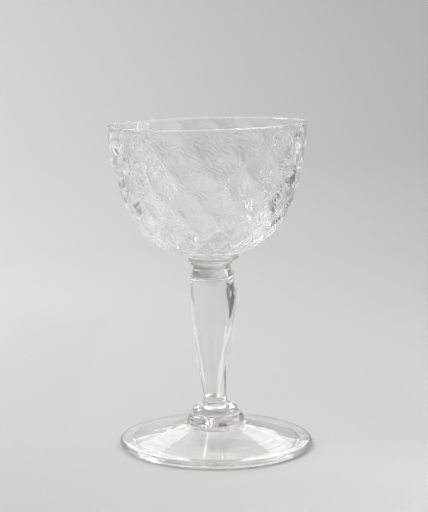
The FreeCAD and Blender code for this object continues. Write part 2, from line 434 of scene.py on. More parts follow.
class BlownSurface:
    """The surface that all the blown glass shares.

    It has slow waves, cords that were drawn out round the axis or up it, fine wavering ripples that
    climb round it in a spiral, and the marks of small bubbles. Its tint is a little uneven.
    """

    wave_detail = 2.0
    fine_detail = 1.0
    waver_size = 10 * MM
    patch_size = 7 * MM
    patch_gain = 3.0
    patch_least = 0.5
    seed_spacing = 5 * MM
    seed_radius = 0.45 * MM
    seed_top = 0.7
    seed_blend = 0.3
    tint_size = 20 * MM
    tint_detail = 4.0

    def __init__(self) -> None:
        """Builds the group once."""
        self.tree = bpy.data.node_groups.new("blown_surface", "ShaderNodeTree")
        add_sockets(self.tree, "INPUT", "NodeSocketFloat", named_amounts(GlassFinish("any")))
        add_sockets(self.tree, "INPUT", "NodeSocketColor", ["Tint"])
        add_sockets(self.tree, "OUTPUT", "NodeSocketFloat", ["Height"])
        add_sockets(self.tree, "OUTPUT", "NodeSocketColor", ["Colour"])
        build = Tree(self.tree)
        given = build.add("NodeGroupInput").outputs
        made = build.add("NodeGroupOutput").inputs
        place = build.add("ShaderNodeTexCoord").outputs["Object"]
        parts = build.add("ShaderNodeSeparateXYZ")
        build.join(place, parts.inputs[0])
        across, deep, rise = parts.outputs
        turn = build.sum("ARCTAN2", deep, across)
        waves = build.noise(place, given["Wave Size"], self.wave_detail).outputs["Fac"]
        height = build.times(waves, given["Wave Height"])
        cords = self.cords(build, build.outwards(across, deep), rise, turn, given)
        height = build.sum("MULTIPLY_ADD", cords, given["Cord Height"], height)
        ripples = self.ripples(build, place, rise, turn, given)
        height = build.sum("MULTIPLY_ADD", ripples, given["Ripple Height"], height)
        height = build.sum("MULTIPLY_ADD", self.seeds(build, place), given["Seed Height"], height)
        build.join(height, made["Height"])
        cloud = build.noise(place, self.tint_size, self.tint_detail).outputs["Fac"]
        shade = build.times(cloud, given["Tint Depth"])
        build.join(build.shaded(given["Tint"], (0, 0, 0, 1), shade), made["Colour"])

    def cords(self, build: Tree, out: bpy.types.NodeSocket, rise: bpy.types.NodeSocket,
              turn: bpy.types.NodeSocket, given: bpy.types.NodeOutputs) -> bpy.types.NodeSocket:
        """Adds noise that is drawn out round the axis or up it, without a seam.

        Args:
            build: the tree that it goes into.
            out: how far from the axis the place is where it is read.
            rise: the height of that place.
            turn: its angle round the axis.
            given: the group's named inputs.

        Returns:
            Its value, from 0 to 1.
        """
        drawn = build.add("ShaderNodeCombineXYZ")
        for target, wave in zip(drawn.inputs, ("COSINE", "SINE")):
            build.join(build.times(build.sum(wave, turn), given["Cord Turns"]), target)
        build.join(build.over(out, given["Cord Ring"]), drawn.inputs["Z"])
        cloud = build.noise(drawn.outputs[0], 1.0, self.fine_detail, noise_dimensions="4D")
        build.join(build.over(rise, given["Cord Rise"]), cloud.inputs["W"])
        return cloud.outputs["Fac"]

    def ripples(self, build: Tree, place: bpy.types.NodeSocket, rise: bpy.types.NodeSocket,
                turn: bpy.types.NodeSocket, given: bpy.types.NodeOutputs) -> bpy.types.NodeSocket:
        """Adds fine ripples that climb in a spiral, waver, come and go, and grow with the height.

        Args:
            build: the tree that it goes into.
            place: where on the piece it is read.
            rise: the height of that place.
            turn: its angle round the axis.
            given: the group's named inputs.

        Returns:
            Its value, from -1 to 1.
        """
        climbing = build.sum("MULTIPLY_ADD", rise, given["Ripple Twist"], turn)
        phase = build.times(climbing, given["Ripple Turns"])
        waver = build.noise(place, self.waver_size, self.fine_detail).outputs["Fac"]
        waver = build.less(waver, NOISE_MIDDLE)
        phase = build.sum("MULTIPLY_ADD", waver, given["Ripple Waver"], phase)
        patches = build.noise(place, self.patch_size, self.fine_detail).outputs["Fac"]
        strength = build.less(build.times(patches, self.patch_gain), self.patch_least, clamp=True)
        over_start = build.less(rise, given["Ripple Start"])
        grown = build.over(over_start, given["Ripple Growth"], clamp=True)
        return build.times(build.sum("SINE", phase), build.times(strength, grown))

    def seeds(self, build: Tree, place: bpy.types.NodeSocket) -> bpy.types.NodeSocket:
        """Adds the small round marks of bubbles just under the surface, some way apart.

        Args:
            build: the tree that it goes into.
            place: where on the piece it is read.

        Returns:
            Its value, greatest in the middle of a mark and 0 outside the marks.
        """
        cells = build.add("ShaderNodeTexVoronoi")
        build.join(place, cells.inputs["Vector"])
        cells.inputs["Scale"].default_value = 1 / self.seed_spacing
        share = build.over(cells.outputs["Distance"], self.seed_radius / self.seed_spacing)
        mark = build.less(1.0, share, clamp=True)
        return build.sum("SMOOTH_MIN", mark, self.seed_top, self.seed_blend)


@dataclass(frozen=True)
class LongWay:
    """How glass dims light on its way inside it.

    The way to a surface that is reached from inside is counted once, and once more for each time the
    light was thrown back before. The shader takes the root of its colour for light that goes through,
    so the loss counts twice in the colour.
    """

    loss: tuple[float, float, float] = (3.2, 3.3, 3.7)
    counts: float = 2.0

    def build(self, build: Tree, colour: object) -> bpy.types.NodeSocket:
        """Adds the loss to a surface's colour.

        Args:
            build: the material's tree.
            colour: the colour without it, a value or a socket.

        Returns:
            The colour with it.
        """
        path = build.add("ShaderNodeLightPath").outputs
        inside = build.add("ShaderNodeNewGeometry").outputs["Backfacing"]
        stretches = build.sum("ADD", path["Glossy Depth"], 1.0)
        way = build.times(build.times(path["Ray Length"], stretches), inside)
        left = build.add("ShaderNodeCombineColor")
        for target, loss in zip(left.inputs, self.loss):
            build.join(build.sum("EXPONENT", build.times(way, -self.counts * loss)), target)
        return build.shaded(colour, left.outputs[0])


@dataclass(frozen=True)
class GlassFinish:
    """A finish of clear soda glass, as one gather of it shows.

    Its cords change so many times round the axis and are so wide outwards and upwards. Its ripples
    come so many times round the axis, turn that far for each metre up it, and reach their full height
    a growth above their start.
    """

    name: str
    tint: tuple[float, float, float] = (0.99, 0.99, 0.99)
    tint_depth: float = 0.02
    wave_size: float = 12 * MM
    wave_height: float = 0.06 * MM
    cord_turns: float = 8.0
    cord_ring: float = 50 * MM
    cord_rise: float = 50 * MM
    cord_height: float = 0.01 * MM
    ripple_turns: float = 62.0
    ripple_twist: float = 32.0
    ripple_waver: float = 44.0
    ripple_start: float = 80 * MM
    ripple_growth: float = 45 * MM
    ripple_height: float = 0.0
    seed_height: float = 0.0
    ior: ClassVar[float] = 1.51

    def build(self, surface: BlownSurface) -> bpy.types.Material:
        """Makes the material.

        Args:
            surface: the group that all the blown glass shares.

        Returns:
            The material.
        """
        material, build, shader = new_material(
            self.name, transmission_weight=1.0, ior=self.ior, metallic=0.0, roughness=0.0)
        group = build.add("ShaderNodeGroup", node_tree=surface.tree)
        for name, value in named_amounts(self).items():
            group.inputs[name].default_value = value
        group.inputs["Tint"].default_value = (*self.tint, 1)
        bump = build.add("ShaderNodeBump")
        bump.inputs["Strength"].default_value = 1.0
        bump.inputs["Distance"].default_value = 1.0
        build.join(group.outputs["Height"], bump.inputs["Height"])
        build.join(bump.outputs["Normal"], shader.inputs["Normal"])
        build.join(LongWay().build(build, group.outputs["Colour"]), shader.inputs["Base Color"])
        return material


class FusedFinish:
    """Where two gathers have melted into one: no surface is left, and light goes straight on."""

    def build(self) -> bpy.types.Material:
        """Makes the material.

        Returns:
            The material.
        """
        material, build, shader = new_material(
            "fused_glass", transmission_weight=1.0, ior=1.0, roughness=0.0)
        build.join(LongWay().build(build, (1, 1, 1, 1)), shader.inputs["Base Color"])
        return material


class Finishes:
    """The finishes of the whole glass, each made once."""

    def __init__(self) -> None:
        """Builds them all."""
        surface = BlownSurface()
        self.bowl = GlassFinish("bowl_glass", cord_turns=12.0, cord_rise=8 * MM,
                                cord_height=0.03 * MM, ripple_height=0.028 * MM,
                                seed_height=0.08 * MM).build(surface)
        self.bowl_inside = GlassFinish("bowl_inside_glass", wave_size=9 * MM,
                                       wave_height=0.08 * MM).build(surface)
        # The collars' glass is greyer than the other gathers': partly the grey of their thick glass, partly
        # painted shade. The merese's glass is a darker copy of it, and its extra darkness is painted shade.
        collar = GlassFinish("collar_glass", tint=(0.9, 0.9, 0.88), cord_turns=1.0,
                             cord_rise=1.2 * MM, cord_ring=2 * MM, cord_height=0.03 * MM)
        self.collar = collar.build(surface)
        self.merese = replace(collar, name="merese_glass", tint=(0.86, 0.86, 0.83)).build(surface)
        self.stem = GlassFinish("stem_glass", cord_turns=10.0, cord_rise=60 * MM).build(surface)
        self.foot = GlassFinish("foot_glass", cord_turns=0.8, cord_ring=2 * MM,
                                cord_height=0.03 * MM).build(surface)
        self.fused = FusedFinish().build()


@dataclass
class Gather:
    """One gather of glass: what every piece of the chalice has in common."""

    finishes: Finishes
    lean: Lean
    around: int = 128

    node = ""
    slot = ""
    sharp_edge = math.radians(50)

    def finish(self, mesh: bpy.types.Mesh, material: bpy.types.Material,
               inside: bpy.types.Material | None = None) -> bpy.types.Object:
        """Makes a piece of a mesh, dresses it, and puts it in place of its node.

        Args:
            mesh: the piece's mesh, already in place.
            material: the glass of its open surface.
            inside: the glass of its inside, where that has its own.

        Returns:
            The piece.
        """
        mesh.materials.clear()
        mesh.materials.append(material)
        mesh.materials.append(self.finishes.fused)
        if inside:
            mesh.materials.append(inside)
        mesh.shade_smooth()
        mesh.set_sharp_from_angle(angle=self.sharp_edge)
        piece = put_in_scene(self.node + "_glass", mesh)
        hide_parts(self.node)
        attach(piece, "root")
        LOG.info("%s: %d faces", piece.name, len(mesh.polygons))
        return piece


@dataclass
class Levels:
    """Heights at which each gather ends, measured up the leaning axis."""

    foot_crown: float = 10.6 * MM
    foot_merese_h: float = 4.6 * MM
    knop_cap_h: float = 3.7 * MM
    stem_ring_h: float = 4.0 * MM
    stem_h: float = 60.4 * MM
    neck_h: float = 1.8 * MM
    neck_lip_h: float = 1.4 * MM
    upper_merese_h: float = 2.6 * MM
    bowl_h: float = 61.0 * MM

    def __post_init__(self) -> None:
        """Adds the heights up."""
        self.foot_merese_top = self.foot_crown + self.foot_merese_h
        self.knop_cap_top = self.foot_merese_top + self.knop_cap_h
        self.stem_ring_top = self.knop_cap_top + self.stem_ring_h
        self.stem_top = self.stem_ring_top + self.stem_h
        self.neck_top = self.stem_top + self.neck_h
        self.collar_top = self.neck_top + self.neck_lip_h
        self.upper_merese_top = self.collar_top + self.upper_merese_h
        self.bowl_top = self.upper_merese_top + self.bowl_h


@dataclass
class Foot(Gather):
    """The cone of the foot, with its edge folded under and the scar of the pontil beneath it."""

    node = "foot"
    slot = "foot_glass"
    radius: float = 45.0 * MM
    crown_r: float = 13.1 * MM
    crown_wall: float = 3.0 * MM
    wall: float = 1.6 * MM
    fold_w: float = 6.5 * MM
    fold_wall: float = 1.4 * MM
    fold_blend: float = 1.6 * MM
    seat_r: float = 12.5 * MM
    pontil_r: float = 6.5 * MM
    pontil_drop: float = 0.9 * MM
    pontil_dimple: float = 0.5 * MM
    flat_steps: int = 6
    cone_steps: int = 24
    around: int = 256

    def build(self, levels: Levels) -> bpy.types.Object:
        """Builds the foot.

        Args:
            levels: the heights at which the gathers end.

        Returns:
            The piece.
        """
        rim_h = self.fold_wall + self.wall
        rim_round = rim_h / 2
        fold_end = self.radius - self.fold_w
        under = levels.foot_crown - self.crown_wall
        blend_share = self.fold_blend / (fold_end - self.crown_r)
        blend_end = self.fold_wall + (under - self.fold_wall) * blend_share
        scar = under - self.pontil_drop
        crown = levels.foot_crown - SEAT_GAP
        seat_shift = self.lean.offset_at(crown)
        outline = Outline().line(0, scar + self.pontil_dimple)
        outline.flowing([(self.pontil_r - self.pontil_drop, scar)], self.flat_steps)
        outline.rounded((self.pontil_r, scar), (self.pontil_r, under))
        outline.line(self.crown_r, under, steps=self.flat_steps)
        outline.line(fold_end - self.fold_blend, blend_end, steps=self.cone_steps)
        outline.rounded((fold_end, self.fold_wall), (fold_end, self.fold_wall / 2))
        outline.rounded((fold_end, 0), (fold_end + self.fold_blend, 0))
        outline.line(self.radius - rim_round, 0, steps=self.flat_steps)
        outline.rounded((self.radius, 0), (self.radius, rim_round))
        outline.rounded((self.radius, rim_h), (self.radius - rim_round, rim_h))
        outline.line(fold_end, rim_h, steps=self.flat_steps)
        outline.line(self.crown_r, crown, steps=self.cone_steps)
        outline.line(self.seat_r, crown, shift=seat_shift)
        outline.line(0, crown, shift=seat_shift, skin=Skin.FUSED)
        mesh = outline.turned(self.node, self.around)
        return self.finish(mesh, self.finishes.foot)


@dataclass
class KnopTier(Gather):
    """A rounded tier of the knop, widest just above its seat."""

    slot = "collar_glass"
    wide_r: float = 13.5 * MM
    seat_r: float = 12.5 * MM
    top_r: float = 10.7 * MM
    next_seat_r: float = 10.5 * MM
    wide_share: float = 0.1
    round_steps: int = 16

    def tier(self, low: float, wide: float, top: float) -> bpy.types.Mesh:
        """Turns the tier and leans it.

        Args:
            low: height of its seat.
            wide: height at which it is widest.
            top: height of the seat that it offers to the next gather.

        Returns:
            Its mesh.
        """
        outline = Outline().line(0, low)
        outline.line(self.seat_r, low, skin=Skin.FUSED)
        outline.rounded((self.wide_r, low), (self.wide_r, wide))
        outline.rounded((self.wide_r, top), (self.top_r, top), steps=self.round_steps)
        outline.line(self.next_seat_r, top)
        outline.line(0, top, skin=Skin.FUSED)
        mesh = outline.turned(self.node, self.around)
        self.lean.apply(mesh)
        return mesh


@dataclass
class FootMerese(KnopTier):
    """The wide collar between the foot and the knop."""

    node = "foot_merese"

    def build(self, levels: Levels) -> bpy.types.Object:
        """Builds the foot merese, with its underside level where it meets the foot.

        Args:
            levels: the heights at which the gathers end.

        Returns:
            The piece.
        """
        wide = levels.foot_crown + levels.foot_merese_h * self.wide_share
        low = levels.foot_crown + SEAT_GAP
        mesh = self.tier(low, wide, levels.foot_merese_top - SEAT_GAP)
        middle_and_ring = 1 + self.around
        for point in mesh.vertices[:middle_and_ring]:
            point.co.z = low
        return self.finish(mesh, self.finishes.collar)


@dataclass
class KnopCap(KnopTier):
    """The rounded tier above the foot merese."""

    node = "knop_cap"
    wide_r: float = 10.8 * MM
    seat_r: float = 10.5 * MM
    top_r: float = 6.1 * MM
    next_seat_r: float = 5.4 * MM
    wide_share: float = 0.15

    def build(self, levels: Levels) -> bpy.types.Object:
        """Builds the knop cap.

        Args:
            levels: the heights at which the gathers end.

        Returns:
            The piece.
        """
        low = levels.foot_merese_top + SEAT_GAP
        wide = low + levels.knop_cap_h * self.wide_share
        mesh = self.tier(low, wide, levels.knop_cap_top - SEAT_GAP)
        return self.finish(mesh, self.finishes.collar)


@dataclass
class StemRing(Gather):
    """Two narrow beads, one on the other, that close the stem's hollow below."""

    node = "stem_ring"
    slot = "collar_glass"
    lower_r: float = 5.85 * MM
    upper_r: float = 5.6 * MM
    groove: float = 0.45 * MM
    bore_r: float = 2.45 * MM
    bore_shift: float = -0.7 * MM

    def build(self, levels: Levels) -> bpy.types.Object:
        """Builds the stem ring.

        Args:
            levels: the heights at which the gathers end.

        Returns:
            The piece.
        """
        low, top = levels.knop_cap_top + SEAT_GAP, levels.stem_ring_top - SEAT_GAP
        middle = (low + top) / 2
        waist = self.upper_r - self.groove
        outline = Outline().line(0, low)
        outline.line(self.lower_r - self.groove, low, skin=Skin.FUSED)
        outline.rounded((self.lower_r, low), (self.lower_r, (low + middle) / 2))
        outline.rounded((self.lower_r, middle), (waist, middle))
        outline.rounded((self.upper_r, middle), (self.upper_r, (middle + top) / 2))
        outline.rounded((self.upper_r, top), (waist, top))
        outline.line(self.bore_r, top, shift=self.bore_shift, skin=Skin.FUSED)
        outline.line(0, top, shift=self.bore_shift)
        mesh = outline.turned(self.node, self.around)
        self.lean.apply(mesh)
        return self.finish(mesh, self.finishes.collar)


@dataclass
class HollowStem(Gather):
    """The blown stem, widest just under its shoulder, with the air space inside it."""

    node = "hollow_stem"
    slot = "stem_glass"
    wide_r: float = 10.9 * MM
    foot_r: float = 5.25 * MM
    ring_r: float = 5.15 * MM
    neck_r: float = 8.6 * MM
    wall: float = 1.9 * MM
    foot_wall: float = 2.9 * MM
    top_wall: float = 4.0 * MM
    hollow_round: float = 1.5 * MM
    hollow_shift: float = -0.7 * MM
    end_slope: float = math.radians(1.0)
    bow: float = 0.35 * MM
    shares: tuple[tuple[float, float], ...] = (
        (0.00, 0.00), (0.12, 0.19), (0.28, 0.43), (0.45, 0.67), (0.62, 0.86), (0.78, 0.985),
        (0.87, 0.99), (0.94, 0.88), (1.00, 0.65))
    wall_shares: tuple[float, ...] = (0.90, 1.10, 1.10, 0.40, 0.00, 0.00, 0.00)
    end_steps: int = 8
    corner_steps: int = 12
    inside_steps: int = 48
    outside_steps: int = 64
    around: int = 160

    def build(self, levels: Levels) -> bpy.types.Object:
        """Builds the stem: down the inside of its hollow, under its foot, and up the outside.

        Args:
            levels: the heights at which the gathers end.

        Returns:
            The piece.
        """
        low, top = levels.stem_ring_top + SEAT_GAP, levels.stem_top - SEAT_GAP
        outside = [(self.foot_r + (self.wide_r - self.foot_r) * radius_share,
                    low + levels.stem_h * height_share) for height_share, radius_share in self.shares]
        inside = [(radius - self.wall - (self.foot_wall - self.wall) * share, height)
                  for (radius, height), share in zip(outside, self.wall_shares)]
        inside.reverse()
        shoulder, end = inside[0][0], top - self.top_wall
        outline = Outline().line(0, end, shift=self.hollow_shift)
        outline.line(shoulder - self.hollow_round, end, self.hollow_shift, steps=self.end_steps)
        outline.rounded((shoulder, end), inside[0], steps=self.corner_steps)
        outline.flowing(inside[1:], self.inside_steps)
        outline.line(self.ring_r, low, skin=Skin.FUSED)
        outline.line(self.foot_r, low)
        outline.flowing(outside[1:], self.outside_steps)
        outline.line(self.neck_r, top)
        outline.line(0, top, skin=Skin.FUSED)
        mesh = outline.turned(self.node, self.around)
        rise = math.tan(self.end_slope)
        end_points = 1 + (self.end_steps + self.corner_steps) * self.around
        for point in mesh.vertices[:end_points]:
            height_share = (point.co.z - inside[0][1]) / (end - inside[0][1])
            point.co.z += point.co.x * rise * height_share
        for point in mesh.vertices:
            point.co.x -= self.bow * math.sin(FULL_TURN * (point.co.z - low) / (top - low))
        self.lean.apply(mesh)
        return self.finish(mesh, self.finishes.stem)


@dataclass
class NeckCollar(Gather):
    """The short waist above the stem's shoulder and the thin lip on it."""

    node = "neck_collar"
    slot = "collar_glass"
    waist_r: float = 8.6 * MM
    lip_r: float = 9.7 * MM
    waist_steps: int = 4

    def build(self, levels: Levels) -> bpy.types.Object:
        """Builds the neck collar.

        Args:
            levels: the heights at which the gathers end.

        Returns:
            The piece.
        """
        low, top = levels.stem_top + SEAT_GAP, levels.collar_top - SEAT_GAP
        middle = (levels.neck_top + levels.collar_top) / 2
        outline = Outline().line(0, low)
        outline.line(self.waist_r, low, skin=Skin.FUSED)
        outline.line(self.waist_r, levels.neck_top, steps=self.waist_steps)
        outline.rounded((self.lip_r, levels.neck_top), (self.lip_r, middle))
        outline.rounded((self.lip_r, top), (self.waist_r, top))
        outline.line(0, top, skin=Skin.FUSED)
        mesh = outline.turned(self.node, self.around)
        self.lean.slope(mesh, low, top)
        self.lean.apply(mesh)
        return self.finish(mesh, self.finishes.collar)


@dataclass(frozen=True)
class BowlSeat:
    """Where the bowl and the upper merese meet, each of them set over to its own side."""

    merese_over: float = 0.8 * MM
    merese_r: float = 10.8 * MM
    bowl_over: float = -0.85 * MM
    bowl_r: float = 10.4 * MM

    @property
    def radius(self) -> float:
        """Radius of the round face where they are fused, just inside both."""
        return (self.merese_r - self.merese_over + self.bowl_r + self.bowl_over - SEAT_GAP) / 2

    @property
    def middle(self) -> float:
        """Where the middle of that face is along X."""
        return (self.merese_over - self.merese_r + self.bowl_over + self.bowl_r) / 2


@dataclass
class UpperMerese(Gather):
    """The flat collar that carries the bowl."""

    node = "upper_merese"
    slot = "collar_glass"
    seat: BowlSeat = BowlSeat()
    wide_r: float = 11.8 * MM
    under_r: float = 9.4 * MM
    collar_r: float = 8.6 * MM
    wide_share: float = 0.5

    def build(self, levels: Levels) -> bpy.types.Object:
        """Builds the upper merese.

        Args:
            levels: the heights at which the gathers end.

        Returns:
            The piece.
        """
        low, top = levels.collar_top + SEAT_GAP, levels.upper_merese_top - SEAT_GAP
        wide = low + levels.upper_merese_h * self.wide_share
        set_over = self.seat.merese_over
        outline = Outline().line(0, low, shift=-set_over)
        outline.line(self.collar_r, low, shift=-set_over, skin=Skin.FUSED)
        outline.line(self.under_r, low)
        outline.rounded((self.wide_r, low), (self.wide_r, wide))
        outline.rounded((self.wide_r, top), (self.seat.merese_r, top))
        shift = self.seat.middle - set_over
        outline.line(self.seat.radius, top, shift=shift)
        outline.line(0, top, shift=shift, skin=Skin.FUSED)
        mesh = outline.turned(self.node, self.around)
        self.lean.slope(mesh, top, low, set_over)
        self.lean.apply(mesh, set_over)
        return self.finish(mesh, self.finishes.merese)


@dataclass(frozen=True)
class Lozenges:
    """The sizes of the mould's pattern, with its drops measured down the bowl from the rim.

    The bosses wander off their places by the noise of one size, and are twisted near the rim. The
    bowl fills in its own radius and the length of its outside.
    """

    columns: float = 16.0
    row_pitch: float = 9.4 * MM
    relief: float = 0.95 * MM
    first_drop: float = 6.9 * MM
    turn: float = math.radians(267.0)
    rim_twist: float = 0.1
    twist_reach: float = 20 * MM
    wander: float = 3.0 * MM
    wander_size: float = 14 * MM
    fullness: float = 0.8
    crease: float = 0.06
    rim_fade: float = 3.2 * MM
    plain_base: float = 8.5 * MM
    radius: float = 0.0
    length: float = 0.0


@dataclass
class Bowl(Gather):
    """The bowl, blown in a mould of staggered lozenges, with a fire-polished rim.

    The glass was thick and soft when it met the mould, so the inside hardly follows the bosses.
    """

    node = "bowl"
    slot = "bowl_glass"
    seat: BowlSeat = BowlSeat()
    lozenges: Lozenges = Lozenges()
    rim_r: float = 45.9 * MM
    rim_wall: float = 1.3 * MM
    base_wall: float = 3.4 * MM
    floor_r: float = 7.0 * MM
    follow: float = 0.05
    rim_drop: float = 0.04 * MM
    shares: tuple[tuple[float, float], ...] = (
        (0.322, 0.020), (0.489, 0.088), (0.636, 0.179), (0.746, 0.293), (0.838, 0.441),
        (0.912, 0.605), (0.954, 0.769), (0.976, 0.900))
    rim_steps: int = 8
    corner_steps: int = 10
    floor_steps: int = 6
    rows: int = 120
    around: int = 320

    def build(self, levels: Levels) -> bpy.types.Object:
        """Builds the bowl: seat, moulded outside, rim, inside and floor.

        Args:
            levels: the heights at which the gathers end.

        Returns:
            The piece.
        """
        low, top = levels.upper_merese_top + SEAT_GAP, levels.bowl_top - self.rim_drop
        points = [(self.rim_r * radius_share, low + levels.bowl_h * height_share)
                  for radius_share, height_share in self.shares]
        points.append((self.rim_r, top))
        start = (self.seat.bowl_r, low)
        outside = [start] + spline_through([start, *points], self.rows)
        steps = np.linalg.norm(np.diff(np.array(outside), axis=0), axis=1)
        drops = np.sum(steps) - np.concatenate([[0], np.cumsum(steps)])
        inside = self.inner_wall(outside, drops, low)
        shift = self.seat.middle - self.seat.bowl_over
        outline = Outline().line(0, low, shift=shift)
        outline.line(self.seat.radius, low, shift=shift, skin=Skin.FUSED)
        for radius, height in outside[:-2]:
            outline.line(radius, height)
        edge = self.rim_wall / 2
        outline.rounded((outside[-1][0], top), (self.rim_r - edge, top), steps=self.rim_steps)
        outline.rounded((self.rim_r - self.rim_wall, top), inside[0][:2], steps=self.rim_steps)
        for radius, height, _ in inside[1:]:
            outline.line(radius, height, skin=Skin.INSIDE)
        floor = low + self.base_wall
        outline.rounded((self.seat.bowl_r, floor), (self.floor_r, floor), steps=self.corner_steps)
        outline.line(0, floor, steps=self.floor_steps)
        marks = [(0.0, 0.0)] * 2 + [(drop, 1.0) for drop in drops[:-2]]
        marks += [(0.0, 0.0)] * (2 * self.rim_steps)
        marks += [(drop, -self.follow) for _, _, drop in inside[1:]]
        marks += [(0.0, 0.0)] * (len(outline.stations) - len(marks))
        mesh = outline.turned(self.node, self.around)
        self.mark(mesh, marks)
        raised = self.moulded(mesh, float(drops[0]))
        self.lean.apply(raised, self.seat.bowl_over)
        return self.finish(raised, self.finishes.bowl, self.finishes.bowl_inside)

    def inner_wall(self, outside: list[tuple[float, float]], drops: np.ndarray,
                   low: float) -> list[tuple[float, float, float]]:
        """Follows the outside at the thickness of the wall, from the rim down to the floor.

        Args:
            outside: the outline of the outside, from the seat to the rim.
            drops: how far below the rim each of its points is, along the surface.
            low: height of the seat.

        Returns:
            The points of the inside, from the rim down: radius, height and drop below the rim.
        """
        course = np.array(outside)
        along = np.gradient(course, axis=0)
        along /= np.linalg.norm(along, axis=1)[:, None]
        wall = self.rim_wall + (self.base_wall - self.rim_wall) * (drops / drops[0]) ** 2
        inside = course + np.stack([-along[:, 1], along[:, 0]], axis=1) * wall[:, None]
        floor = low + self.base_wall + self.rim_wall
        return [(float(radius), float(height), float(drop))
                for (radius, height), drop in zip(inside[-3::-1], drops[-3::-1]) if height > floor]

    @staticmethod
    def mark(mesh: bpy.types.Mesh, marks: list[tuple[float, float]]) -> None:
        """Notes on each point its drop below the rim and how far it follows the mould, outwards.

        Args:
            mesh: the turned mesh.
            marks: the two values of each station of the outline.
        """
        places = np.zeros(len(mesh.vertices), np.float32)
        mesh.attributes["station"].data.foreach_get("value", places)
        values = np.array(marks, np.float32)[places.astype(int)]
        for column, name in enumerate(("drop", "press")):
            attribute = mesh.attributes.new(name, "FLOAT", "POINT")
            attribute.data.foreach_set("value", np.ascontiguousarray(values[:, column]))

    def moulded(self, mesh: bpy.types.Mesh, length: float) -> bpy.types.Mesh:
        """Raises the bosses of the mould on the outside.

        Args:
            mesh: the plain bowl, with its drops marked.
            length: length of the outside's outline.

        Returns:
            The moulded mesh.
        """
        for material in (self.finishes.bowl, self.finishes.fused, self.finishes.bowl_inside):
            mesh.materials.append(material)
        blank = put_in_scene("bowl_blank", mesh)
        mould = LozengeMould()
        press = blank.modifiers.new("lozenge_mould", "NODES")
        press.node_group = mould.tree
        sizes = replace(self.lozenges, radius=self.rim_r, length=length)
        for name, value in named_amounts(sizes).items():
            press[mould.inputs[name]] = value
        press[mould.inputs["Glass"]] = self.finishes.bowl
        depsgraph = bpy.context.evaluated_depsgraph_get()
        raised = bpy.data.meshes.new_from_object(blank.evaluated_get(depsgraph))
        blank.modifiers.remove(press)
        bpy.data.objects.remove(blank)
        raised.name = self.node
        return raised


class LozengeMould:
    """The tree that raises the mould's bosses: rows of lozenges, each row half a step round."""

    plain_rim_share = 0.5

    def __init__(self) -> None:
        """Builds the tree once and keeps the identifiers of its inputs."""
        tree = bpy.data.node_groups.new("lozenge_mould", "GeometryNodeTree")
        self.tree = tree
        add_sockets(tree, "OUTPUT", "NodeSocketGeometry", ["Geometry"])
        add_sockets(tree, "INPUT", "NodeSocketGeometry", ["Geometry"])
        self.inputs = add_sockets(tree, "INPUT", "NodeSocketFloat", named_amounts(Lozenges()))
        self.inputs |= add_sockets(tree, "INPUT", "NodeSocketMaterial", ["Glass"])
        build = Tree(tree)
        given = build.add("NodeGroupInput").outputs
        drop = self.read(build, "drop")
        boss = self.boss_height(build, given, drop, self.read(build, "turn"))
        stand = build.times(boss, self.read(build, "press"))
        normal = build.add("GeometryNodeInputNormal").outputs[0]
        outward = build.add("ShaderNodeVectorMath", operation="SCALE")
        build.join(normal, outward.inputs[0])
        build.join(stand, outward.inputs["Scale"])
        raise_skin = build.add("GeometryNodeSetPosition")
        build.join(given["Geometry"], raise_skin.inputs["Geometry"])
        build.join(outward.outputs[0], raise_skin.inputs["Offset"])
        realize = build.add("GeometryNodeRealizeInstances")
        build.join(raise_skin.outputs[0], realize.inputs[0])
        material = build.add("GeometryNodeSetMaterial")
        index = build.add("GeometryNodeInputMaterialIndex").outputs[0]
        open_skin = build.sum("LESS_THAN", index, (Skin.OPEN.value + Skin.FUSED.value) / 2)
        build.join(open_skin, material.inputs["Selection"])
        build.join(realize.outputs[0], material.inputs["Geometry"])
        build.join(given["Glass"], material.inputs["Material"])
        made = build.add("NodeGroupOutput").inputs
        build.join(material.outputs[0], made["Geometry"])

    @staticmethod
    def read(build: Tree, name: str) -> bpy.types.NodeSocket:
        """Reads one of the values marked on the points.

        Args:
            build: the tree that it goes into.
            name: the name of the mark.

        Returns:
            Its value.
        """
        node = build.add("GeometryNodeInputNamedAttribute", data_type="FLOAT")
        node.inputs["Name"].default_value = name
        return node.outputs["Attribute"]

    def boss_height(self, build: Tree, given: bpy.types.NodeOutputs, drop: bpy.types.NodeSocket,
                    turn: bpy.types.NodeSocket) -> bpy.types.NodeSocket:
        """Works out how far the surface stands out at a drop below the rim and a turn round it.

        Args:
            build: the tree that the sum goes into.
            given: the tree's named inputs.
            drop: distance below the rim along the surface.
            turn: angle round the axis.

        Returns:
            The height of the surface over the creases.
        """
        place = build.add("GeometryNodeInputPosition").outputs[0]
        cloud = build.noise(place, given["Wander Size"], 0.0)
        strays = build.add("FunctionNodeSeparateColor")
        build.join(cloud.outputs["Color"], strays.inputs[0])
        around, along = (build.times(build.less(stray, NOISE_MIDDLE), given["Wander"])
                         for stray in strays.outputs[:2])
        down = build.sum("ADD", build.less(drop, given["First Drop"]), along)
        row_angle = build.over(build.times(down, math.pi), given["Row Pitch"])
        near_rim = build.less(1.0, build.over(drop, given["Twist Reach"]), clamp=True)
        off = build.less(build.less(turn, given["Turn"]), build.times(near_rim, given["Rim Twist"]))
        off = build.sum("ADD", off, build.over(around, given["Radius"]))
        column_angle = build.times(off, given["Columns"])
        waves = build.sum("ADD", build.sum("COSINE", row_angle), build.sum("COSINE", column_angle))
        half = build.times(waves, 0.5)
        square = build.sum("MULTIPLY_ADD", half, half, build.sum("POWER", given["Crease"], 2.0))
        lozenge = build.sum("POWER", square, build.times(given["Fullness"], 0.5))
        from_rim = build.less(build.over(drop, given["Rim Fade"]), self.plain_rim_share, clamp=True)
        left = build.less(build.less(given["Length"], drop), given["Plain Base"])
        from_base = build.over(left, given["Row Pitch"], clamp=True)
        fades = build.times(from_rim, from_base)
        return build.times(build.times(lozenge, fades), given["Relief"])


